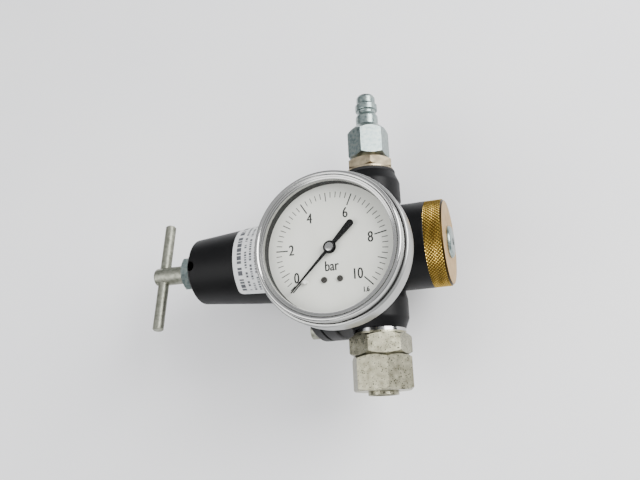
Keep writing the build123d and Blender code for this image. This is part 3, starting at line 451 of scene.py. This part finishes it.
def knurled_brass():
    """Brass worn bright on the crests of its knurl, with painted shade darkening its grooves."""
    material, tree, shader = new_surface("knurled_brass", "C9A74E", 1.0, 0.22)
    place = add(tree, "ShaderNodeTexCoord")
    centre = add(tree, "ShaderNodeVectorMath", {1: tuple(crossing)}, {0: place.outputs["Object"]},
                 operation="SUBTRACT")
    flat = add(tree, "ShaderNodeVectorMath", {1: (0, 1, 1)}, {0: centre.outputs["Vector"]},
               operation="MULTIPLY")
    reach = add(tree, "ShaderNodeVectorMath", links={0: flat.outputs["Vector"]}, operation="LENGTH")
    # Painted shade: the colour darkens with depth from the crests into the knurl's grooves. The bright
    # crests are worn brass.
    crest_wear_and_groove_shade = add(tree, "ShaderNodeMapRange", {"From Min": cap_r - KNURL_DEPTH, "From Max": cap_r},
                {"Value": reach.outputs["Value"]})
    blend_colour(tree, shader, crest_wear_and_groove_shade.outputs["Result"],
                 [(0.0, "2A200C"), (0.5, "9A7C34"), (1.0, "DCC070")])
    vary_gloss(tree, shader, crest_wear_and_groove_shade.outputs["Result"], 0.45, 0.24)
    return material


def faced_brass():
    """Faced brass: golden tan where the lacquer dulls it, with tool rings 0.6 mm apart."""
    material, tree, shader = new_surface("faced_brass", "B8955C", 1.0, 0.44)
    place = add(tree, "ShaderNodeTexCoord")
    centre = add(tree, "ShaderNodeVectorMath", {1: tuple(crossing)}, {0: place.outputs["Object"]},
                 operation="SUBTRACT")
    scale = WAVE_PERIOD / FACE_RING_SPACING
    rings = add(tree, "ShaderNodeTexWave", {"Scale": scale, "Distortion": 0.0},
                {"Vector": centre.outputs["Vector"]}, wave_type="RINGS", rings_direction="X")
    emboss(tree, shader, rings.outputs["Fac"], 0.01)
    blend_colour(tree, shader, noise_at(tree, 4, detail=5), [(0.3, "A5834A"), (0.7, "C4A26A")])
    return material


def make_cap():
    """Turned cap whose rim is pushed in by the knurl; its face is its second material."""
    back = cap_low.x - crossing.x
    front = cap_high.x - crossing.x
    knurl_start = body_high.x - crossing.x
    knurl_end = front - CAP_CHAMFER
    segments = KNURL_SAMPLES * round(2 * math.pi * cap_r / KNURL_PITCH)
    rows = KNURL_SAMPLES * round((knurl_end - knurl_start) / KNURL_PITCH)
    spigot_r = cap_r * CAP_SPIGOT_SHARE
    profile = [(CAP_BORE_SHARE * cap_r, back), (spigot_r, back), (spigot_r, knurl_start),
               (cap_r - KNURL_DEPTH, knurl_start)]
    heights = [knurl_start + (knurl_end - knurl_start) * i / rows for i in range(rows + 1)]
    first = len(profile)
    profile += [(cap_r, height) for height in heights]
    profile += [(cap_r - KNURL_DEPTH, knurl_end), (cap_r - CAP_CHAMFER, front - CAP_FACE_DROP)]
    first_face = len(profile) - 1
    profile += [(cap_r - CAP_CHAMFER - CAP_FACE_BLEND, front), (PLUG_SHANK_R, front),
                (PLUG_SHANK_R, front - PLUG_RECESS)]
    points, faces = turned_mesh(profile, segments, crossing, "x")
    for i, height in enumerate(heights):
        for k in range(segments):
            turn = 2 * math.pi * k / segments
            depth = knurl_height(turn, height - knurl_start, cap_r)
            around = (math.cos(turn) * (cap_r - depth), math.sin(turn) * (cap_r - depth))
            points[(first + i) * segments + k] = crossing + axis_point(around, height, "x")
    piece = new_piece("knurled_cap", points, faces, knurled_brass(), "valve_body", "brass")
    piece.data.materials.append(faced_brass())
    for polygon in piece.data.polygons:
        if polygon.index >= first_face * segments:
            polygon.material_index = 1
    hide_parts("brass_cap")


cap_low, cap_high = (Vector(corner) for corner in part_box("brass_cap"))
cap_r = (cap_high.y - cap_low.y) / 2
make_cap()
dress(bright_zinc, "centre_plug")


# Port seals, inlet nipple and quick plug. The inlet's seal is of black rubber and the outlet's is
# a bright steel washer. The nipple is nickel-plated brass, and the plug is steel with the same
# bluish zinc plate as the lock nut.
PIT_EDGE = 0.04


def nickel_plate(name, codes, speck):
    """Nickel plating worn in use: warm grey, with dark pits of about 0.5 mm. The higher speck is,
    the more pits there are."""
    material, tree, shader = new_surface(name, codes[1], 1.0, 0.33)
    cloud = noise_at(tree, 3.0, detail=5)
    ramp = add(tree, "ShaderNodeValToRGB", links={"Fac": cloud})
    for point, (place, code) in zip(ramp.color_ramp.elements, [(0.3, codes[0]), (0.7, codes[2])]):
        point.position = place
        point.color = linear(code)
    pits = noise_at(tree, 0.75, detail=1)
    dark = add(tree, "ShaderNodeMapRange",
               {"From Min": 1 - speck, "From Max": 1 + PIT_EDGE - speck}, {"Value": pits})
    mix = add(tree, "ShaderNodeMix", {"B": linear("3B3A32")},
              {"Factor": dark.outputs["Result"], "A": ramp.outputs["Color"]}, data_type="RGBA")
    tree.links.new(mix.outputs["Result"], shader.inputs["Base Color"])
    vary_gloss(tree, shader, cloud, 0.26, 0.42)
    emboss(tree, shader, noise_at(tree, 0.4), 0.01)
    return material


def polished_stainless():
    """Polished stainless steel: clear reflections, with the faintest haze."""
    material, tree, shader = new_surface("polished_stainless", "A9A9A7", 1.0, 0.14)
    vary_gloss(tree, shader, noise_at(tree, 4, detail=5), 0.1, 0.2)
    emboss(tree, shader, noise_at(tree, 2.5), 0.004)
    return material


stainless = polished_stainless()
nickel_brown = nickel_plate("nickel_plated_brass", ("857A66", "A0947E", "B5A78B"), 0.28)
nickel_grey = nickel_plate("nickel_plated_steel", ("787563", "95927D", "A9A690"), 0.38)
dress(rubber, "inlet_seal")
dress(stainless, "outlet_seal")
dress(nickel_brown, "inlet_nipple")
dress(bright_zinc, "quick_plug")


# Outlet fitting. A stud fitting, its nut, the cutting ring and the end of a 15 mm tube, all of
# nickel-plated steel that has picked up dark pits.
dress(nickel_grey, "outlet_stud", "compression_nut", "cutting_ring", "tube_stub")


# Gauge case and socket. The case is drawn from stainless sheet and brushed round its side; the
# socket is brass. A rubber plug in the wall lets pressure out if the tube bursts.
def brushed_stainless():
    """Stainless brushed round the gauge: fine lines along the turning, 0.15 mm apart."""
    material, tree, shader = new_surface("brushed_stainless", "9FA09E", 1.0, 0.3)
    place = add(tree, "ShaderNodeTexCoord")
    centre = add(tree, "ShaderNodeVectorMath", {1: tuple(gauge_centre)}, {0: place.outputs["Object"]},
                 operation="SUBTRACT")
    flat = add(tree, "ShaderNodeVectorMath", {1: (1, 1, 0)}, {0: centre.outputs["Vector"]},
               operation="MULTIPLY")
    reach = add(tree, "ShaderNodeVectorMath", links={0: flat.outputs["Vector"]}, operation="LENGTH")
    height = add(tree, "ShaderNodeSeparateXYZ", links={"Vector": centre.outputs["Vector"]})
    lines = add(tree, "ShaderNodeCombineXYZ",
                links={"X": reach.outputs["Value"], "Y": height.outputs["Z"]})
    brush = add(tree, "ShaderNodeTexNoise", {"Scale": 1 / (0.15 * MM), "Detail": 2.0},
                {"Vector": lines.outputs["Vector"]})
    emboss(tree, shader, brush.outputs["Fac"], 0.004)
    vary_gloss(tree, shader, brush.outputs["Fac"], 0.22, 0.4)
    return material


dial_low, dial_high = (Vector(corner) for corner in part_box("dial_plate"))
gauge_centre = (dial_low + dial_high) / 2
gauge_centre.z = dial_high.z
brushed = brushed_stainless()
dress(brushed, "gauge_case")
dress(brass, "gauge_socket")
dress(rubber, "gauge_seal", "blowout_plug")


# Gauge movement. The bronze Bourdon tube bends as pressure rises, and its end pulls a link, which
# swings the toothed sector; the sector turns the pointer's pinion, and a hairspring takes up play.
def bronze():
    """Phosphor bronze tube: redder than the brass, drawn smooth."""
    material, tree, shader = new_surface("phosphor_bronze", "B07F4E", 1.0, 0.3)
    vary_gloss(tree, shader, noise_at(tree, 2), 0.24, 0.4)
    emboss(tree, shader, noise_at(tree, 0.3), 0.005)
    return material


dress(bronze(), "bourdon_tube", "hairspring")
dress(brass, "bourdon_tip", "link", "sector_gear", "sector_arbor", "pointer_arbor", "movement_pillars",
      "movement_back_plate", "movement_front_plate", "dial_posts")


# Dial. Aluminium sheet, enamelled off-white and screen-printed: a scale from 0 to 10 bar over 270
# degrees, whose first bar is squeezed. Two small screws hold it, and a white pin stops the pointer.
SCALE_TOP = 10
SCALE_ZERO = -135.0
SCALE_ONE = -115.0
SCALE_END = 135.0
DEGREES_PER_BAR = (SCALE_END - SCALE_ONE) / (SCALE_TOP - 1)
FIFTHS = 5
FIRST_FIFTH = 2
TICK_OUT = 25.0 * MM
TICK_IN = {"even": 19.6 * MM, "odd": 21.0 * MM, "fifth": 22.4 * MM}
TICK_WIDE = {"even": 0.55 * MM, "odd": 0.42 * MM, "fifth": 0.36 * MM}
PRINT_LIFT = 0.03 * MM
LAYER_LIFT = PRINT_LIFT / 4
NUMBER_TALL = 4.6 * MM
NUMBER_NARROW = 0.74
NUMBER_SPOTS = {"0": (-15.9, -11.4), "2": (-17.9, 1.1), "4": (-9.2, 14.3), "6": (7.0, 14.9),
                "8": (17.5, 2.8), "10": (11.5, -12.2)}
UNIT_SPOT = (0.1, -7.7)
UNIT_TALL = 4.4 * MM
CLASS_SPOT = (14.6, -19.2)
CLASS_TALL = 2.2 * MM
STROKE_SHIFTS = (-0.13, 0.0, 0.13)


def dial_enamel():
    """Off-white stoved enamel: even, nearly matt."""
    material, tree, shader = new_surface("off_white_enamel", "DCDDD3", 0.0, 0.5)
    blend_colour(tree, shader, noise_at(tree, 12), [(0.3, "D8D9CF"), (0.7, "E0E1D8")])
    emboss(tree, shader, noise_at(tree, 0.6), 0.004)
    return material


def scale_angle(bar):
    """Degrees clockwise from the dial's top at a pressure."""
    if bar == 0:
        return SCALE_ZERO
    return SCALE_ONE + (bar - 1) * DEGREES_PER_BAR


def dial_point(x, y):
    """Place of print at x and y from the dial's centre."""
    return gauge_centre + Vector((x, y, PRINT_LIFT))


def tick(angle, kind):
    """Four corners of a line of the scale."""
    turn = math.radians(angle)
    out = Vector((math.sin(turn), math.cos(turn)))
    side = Vector((out.y, -out.x)) * TICK_WIDE[kind] / 2
    near, far = out * TICK_IN[kind], out * TICK_OUT
    return [dial_point(*corner) for corner in (near - side, far - side, far + side, near + side)]


def joined(parts):
    """One list of points and one of faces from several."""
    points, faces = [], []
    for more_points, more_faces in parts:
        first = len(points)
        points += more_points
        faces += [tuple(first + k for k in face) for face in more_faces]
    return points, faces


def lettering(text, spot, tall):
    """Points and faces of flat figures, upright on the dial, laid three times for bold strokes."""
    curve = bpy.data.curves.new("figures", "FONT")
    curve.body = text
    curve.align_x = "CENTER"
    curve.align_y = "CENTER"
    holder = bpy.data.objects.new("figures", curve)
    bpy.context.scene.collection.objects.link(holder)
    bpy.context.view_layer.update()
    solved = holder.evaluated_get(bpy.context.evaluated_depsgraph_get())
    mesh = bpy.data.meshes.new_from_object(solved)
    low = min(v.co.y for v in mesh.vertices)
    high = max(v.co.y for v in mesh.vertices)
    middle_x = (min(v.co.x for v in mesh.vertices) + max(v.co.x for v in mesh.vertices)) / 2
    middle_y = (low + high) / 2
    scale = tall / (high - low)
    parts = []
    for layer, shift in enumerate(STROKE_SHIFTS):
        lift = Vector((0, 0, layer * LAYER_LIFT))
        points = []
        for corner in mesh.vertices:
            x = (spot[0] + shift) * MM + (corner.co.x - middle_x) * scale * NUMBER_NARROW
            y = spot[1] * MM + (corner.co.y - middle_y) * scale
            points.append(dial_point(x, y) + lift)
        parts.append((points, [tuple(p.vertices) for p in mesh.polygons]))
    bpy.data.objects.remove(holder)
    bpy.data.curves.remove(curve)
    bpy.data.meshes.remove(mesh)
    return joined(parts)


def make_dial_print():
    """Black print: the even bars and all figures. Grey print: the odd bars and the fifths."""
    face = [(0, 3, 2, 1)]
    dark = [(tick(scale_angle(bar), "even"), face) for bar in range(0, SCALE_TOP + 1, 2)]
    dark += [lettering(text, spot, NUMBER_TALL) for text, spot in NUMBER_SPOTS.items()]
    dark += [lettering("bar", UNIT_SPOT, UNIT_TALL)]
    dark += [lettering("1.6", CLASS_SPOT, CLASS_TALL)]
    black = print_ink("black_dial_ink", "0C0C0C")
    new_piece("dial_figures", *joined(dark), black, "valve_body", "black_enamel")
    fine = [(tick(scale_angle(bar), "odd"), face) for bar in range(1, SCALE_TOP, 2)]
    fine += [(tick(scale_angle(count / FIFTHS), "fifth"), face)
             for count in range(FIRST_FIFTH, SCALE_TOP * FIFTHS) if count % FIFTHS]
    grey = print_ink("grey_dial_ink", "30302E")
    new_piece("dial_ticks", *joined(fine), grey, "valve_body", "black_enamel")


def fine_skin(name, code, roughness):
    """Fine, nearly matt skin with lumps of 0.3 mm, as moulded plastic and blackened steel have."""
    material, tree, shader = new_surface(name, code, 0.0, roughness)
    emboss(tree, shader, noise_at(tree, 0.3), 0.008)
    vary_gloss(tree, shader, noise_at(tree, 3), roughness * 0.85, roughness * 1.1)
    return material


dress(dial_enamel(), "dial_plate")
dress(fine_skin("white_acetal", "E4E4DE", 0.45), "stop_pin")
dress(fine_skin("black_oxide_screw", "2A2823", 0.6), "dial_screws")
make_dial_print()


# Pointer. Punched from aluminium and enamelled black, pressed onto its arbor; a bright disc set in
# a black ring covers the hub.
HUB_DISC_SHARE = 0.8
HUB_DOME = 0.14 * MM
HUB_EDGE = 0.3 * MM
HUB_EDGE_STEPS = 5
HUB_LIP = 0.05 * MM
HUB_SINK = 0.3 * MM
HUB_DOME_STEPS = 6
HUB_SEGMENTS = 48
AXIS_GAP = 0.001 * MM


def pointer_enamel():
    """Black stoved enamel, satin."""
    material, tree, shader = new_surface("black_stoved_enamel", "060606", 0.0, 0.45,
                                         **{"Specular IOR Level": 0.2})
    vary_gloss(tree, shader, noise_at(tree, 2), 0.34, 0.5)
    emboss(tree, shader, noise_at(tree, 0.5), 0.004)
    return material


def make_hub():
    """Ring with a rounded edge, and the disc inside it, as one turned cap."""
    low, high = (Vector(corner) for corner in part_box("pointer_hub"))
    radius = (high.x - low.x) / 2
    disc_r = radius * HUB_DISC_SHARE
    middle = Vector(((low.x + high.x) / 2, (low.y + high.y) / 2, 0))
    edge_z = high.z - HUB_LIP - HUB_EDGE
    disc_z = high.z - HUB_SINK
    ring = [(AXIS_GAP, low.z), (radius, low.z), (radius, edge_z)]
    for k in range(1, HUB_EDGE_STEPS + 1):
        turn = math.pi / 2 * k / HUB_EDGE_STEPS
        ring.append((radius - HUB_EDGE * (1 - math.cos(turn)), edge_z + HUB_EDGE * math.sin(turn)))
    ring += [(disc_r, high.z - HUB_LIP), (disc_r, disc_z)]
    first_disc = len(ring) - 1
    for k in range(HUB_DOME_STEPS, -1, -1):
        share = k / HUB_DOME_STEPS
        ring.append((max(disc_r * share, AXIS_GAP), disc_z + HUB_DOME * (1 - share ** 2)))
    points, faces = turned_mesh(ring, HUB_SEGMENTS, middle, "z")
    piece = new_piece("hub_cap", points, faces, enamel_black, "pointer_body", "stainless", smooth=True)
    piece.data.materials.append(stainless)
    for polygon in piece.data.polygons:
        if polygon.index >= first_disc * HUB_SEGMENTS:
            polygon.material_index = 1
    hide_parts("pointer_hub")


enamel_black = pointer_enamel()
dress(enamel_black, "pointer")
make_hub()


# Window, inner ring and bezel. A flat glass rests on a black plastic ring; a bezel rolled from
# stainless sheet, brushed on its skirt and polished on its rim, clamps them to the case.
BEZEL_SHOULDER = 1.7 * MM
BEZEL_RISE = 5.5 * MM
BEZEL_SLOPE = 3.85 * MM
BEZEL_HEM_R = 0.8 * MM
BEZEL_CORNER_R = 0.9 * MM
BEZEL_RIM_R = 1.1 * MM
BEZEL_RIM_END = 115
GROOVE_OUT = 0.45 * MM
GROOVE_IN = 0.2 * MM
GROOVE_DEEP = 0.6 * MM
RIM_WIDE = 1.6 * MM
RIM_DROP = 0.15 * MM
BEZEL_STEPS = 3
STEP_DROP = 0.42 * MM
STEP_NOSE = (0.25 * MM, 0.14 * MM)
STEP_FOOT = (0.12 * MM, -0.1 * MM)
LIP_DROP = 1.5 * MM
BEZEL_SEGMENTS = 192
SHARP_FROM = math.radians(35)


def window_glass():
    """Clear float glass, let through by its alpha so that the dial keeps its light."""
    material, tree, shader = new_surface("clear_glass", "101212", 0.0, 0.03, Alpha=0.03, IOR=1.5)
    vary_gloss(tree, shader, noise_at(tree, 20), 0.02, 0.05)
    return material


def arc_points(centre, radius, start, end, steps):
    """Outline points along an arc; degrees count from outward towards the front."""
    turns = [math.radians(start + (end - start) * k / steps) for k in range(steps + 1)]
    return [(centre[0] + radius * math.cos(a), centre[1] + radius * math.sin(a)) for a in turns]


def make_bezel():
    """Skirt with a rolled hem, shoulder, groove, rounded rim, and fine steps down to the glass."""
    low, high = (Vector(corner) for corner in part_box("gauge_bezel"))
    lip_foot = Vector(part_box("dial_ring")[1]).z
    skirt = (high.x - low.x) / 2
    middle = Vector(((low.x + high.x) / 2, (low.y + high.y) / 2, 0))
    top = high.z
    ring = skirt - BEZEL_SHOULDER
    shoulder_z = top - BEZEL_RISE
    inner = ring - BEZEL_SLOPE
    profile = [(skirt - 2 * BEZEL_HEM_R, low.z)]
    profile += arc_points((skirt - BEZEL_HEM_R, low.z + BEZEL_HEM_R), BEZEL_HEM_R, -90, 0, 6)
    first_skirt = len(profile) - 1
    corner = (skirt - BEZEL_CORNER_R, shoulder_z - BEZEL_CORNER_R)
    profile += arc_points(corner, BEZEL_CORNER_R, 0, 90, 8)
    first_ring = len(profile) - 1
    profile += [(ring + GROOVE_OUT, shoulder_z), (ring + GROOVE_IN, shoulder_z - GROOVE_DEEP),
                (ring, shoulder_z)]
    profile += arc_points((ring - BEZEL_RIM_R, top - BEZEL_RIM_R), BEZEL_RIM_R, 0, BEZEL_RIM_END, 12)
    for step in range(1, BEZEL_STEPS + 1):
        r = ring - RIM_WIDE - (BEZEL_SLOPE - RIM_WIDE) * step / BEZEL_STEPS
        z = top - RIM_DROP - step * STEP_DROP
        profile += [(r + out, z + up) for out, up in (STEP_NOSE, STEP_FOOT)]
    profile += [(inner, top - LIP_DROP), (inner, lip_foot)]
    points, faces = turned_mesh(profile, BEZEL_SEGMENTS, middle, "z")
    piece = new_piece("rolled_bezel", points, faces, stainless, "valve_body", "stainless", smooth=True)
    piece.data.set_sharp_from_angle(angle=SHARP_FROM)
    piece.data.materials.append(brushed)
    for polygon in piece.data.polygons:
        if first_skirt <= polygon.index // BEZEL_SEGMENTS < first_ring:
            polygon.material_index = 1
    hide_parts("gauge_bezel")


dress(window_glass(), "gauge_window")
dress(fine_skin("black_abs", "050505", 0.6), "dial_ring")
make_bezel()


# Floor, light and camera. A pale matt table top, one large soft light from the upper right of the
# view with two weaker ones, and a camera that looks down at the dial.
FLOOR_HALF = 1.5
# Where up the room each tone starts, as the height of the direction looked in.
ROOM = [(0.12, "4A4C50"), (0.55, "FBFCFF")]
ROOM_STRENGTH = 0.95
# Each lamp's offset from the valve and its size, in metres, and its watts.
LAMPS = {"key_light": ((0.55, 0.55, 0.75), (0.7, 0.7), 22.0),
         "fill_light": ((-0.8, -0.1, 0.7), (0.8, 0.8), 7.0),
         "low_light": ((0.1, -0.9, 0.45), (0.9, 0.4), 4.0)}
CAMERA_LENS = 39.4
CAMERA_PLACE = Vector((84.1, -89.0, 337.0)) * MM
CAMERA_RIGHT = Vector((0.9444, -0.0312, -0.3270))
CAMERA_UP = Vector((0.1160, 0.9627, 0.2430))
CAMERA_ROLL = math.radians(-0.5)
CAMERA_NEAR = 0.01


def table_top():
    """Matt white laminate, faintly uneven."""
    material, tree, shader = new_surface("white_laminate", "F0F0F1", 0.0, 0.7)
    blend_colour(tree, shader, noise_at(tree, 120), [(0.3, "EEEEF0"), (0.7, "F2F2F2")])
    emboss(tree, shader, noise_at(tree, 2), 0.02)
    return material


def make_floor():
    floor_z = cad_box[0][2]
    corners = [(-1, -1), (1, -1), (1, 1), (-1, 1)]
    mesh = bpy.data.meshes.new("floor")
    points = [(x * FLOOR_HALF, y * FLOOR_HALF, floor_z) for x, y in corners]
    mesh.from_pydata(points, [], [(0, 1, 2, 3)])
    mesh.materials.append(table_top())
    floor = bpy.data.objects.new("floor", mesh)
    bpy.context.scene.collection.objects.link(floor)


def facing(place, target, up):
    """Right, up and back axes of a thing at a place that looks at a target."""
    back = (place - target).normalized()
    right = up.cross(back).normalized()
    return right, back.cross(right), back


def set_axes(thing, place, right, up, back):
    """Puts an object at a place with the given axes."""
    matrix = thing.matrix_world
    for column, axis in enumerate((right, up, back, place)):
        for row in range(3):
            matrix[row][column] = axis[row]
    thing.matrix_world = matrix


def area_light(name, offset, size, power):
    """Soft box at an offset from the valve, in the camera's right, up and back."""
    data = bpy.data.lights.new(name, "AREA")
    data.shape = "RECTANGLE"
    data.size, data.size_y = size
    data.energy = power
    lamp = bpy.data.objects.new(name, data)
    bpy.context.scene.collection.objects.link(lamp)
    back = CAMERA_RIGHT.cross(CAMERA_UP)
    place = crossing + CAMERA_RIGHT * offset[0] + CAMERA_UP * offset[1] + back * offset[2]
    set_axes(lamp, place, *facing(place, crossing, CAMERA_UP))


def make_camera():
    data = bpy.data.cameras.new("camera")
    data.lens = CAMERA_LENS
    data.clip_start = CAMERA_NEAR
    camera = bpy.data.objects.new("camera", data)
    bpy.context.scene.collection.objects.link(camera)
    back = CAMERA_RIGHT.cross(CAMERA_UP).normalized()
    right = CAMERA_RIGHT.normalized()
    up = back.cross(right)
    turned_right = right * math.cos(CAMERA_ROLL) + up * math.sin(CAMERA_ROLL)
    set_axes(camera, crossing + CAMERA_PLACE, turned_right, back.cross(turned_right), back)
    bpy.context.scene.camera = camera


def make_room():
    """Dark walls that brighten to a white ceiling."""
    world = bpy.data.worlds.new("studio")
    world.use_nodes = True
    tree = world.node_tree
    way = add(tree, "ShaderNodeTexCoord")
    parts = add(tree, "ShaderNodeSeparateXYZ", links={"Vector": way.outputs["Generated"]})
    walls = add(tree, "ShaderNodeValToRGB", links={"Fac": parts.outputs["Z"]})
    for point, (place, code) in zip(walls.color_ramp.elements, ROOM):
        point.position = place
        point.color = linear(code)
    background = tree.nodes["Background"]
    tree.links.new(walls.outputs["Color"], background.inputs["Color"])
    background.inputs["Strength"].default_value = ROOM_STRENGTH
    bpy.context.scene.world = world


make_floor()
for lamp_name, (offset, size, power) in LAMPS.items():
    area_light(lamp_name, offset, size, power)
make_room()
make_camera()
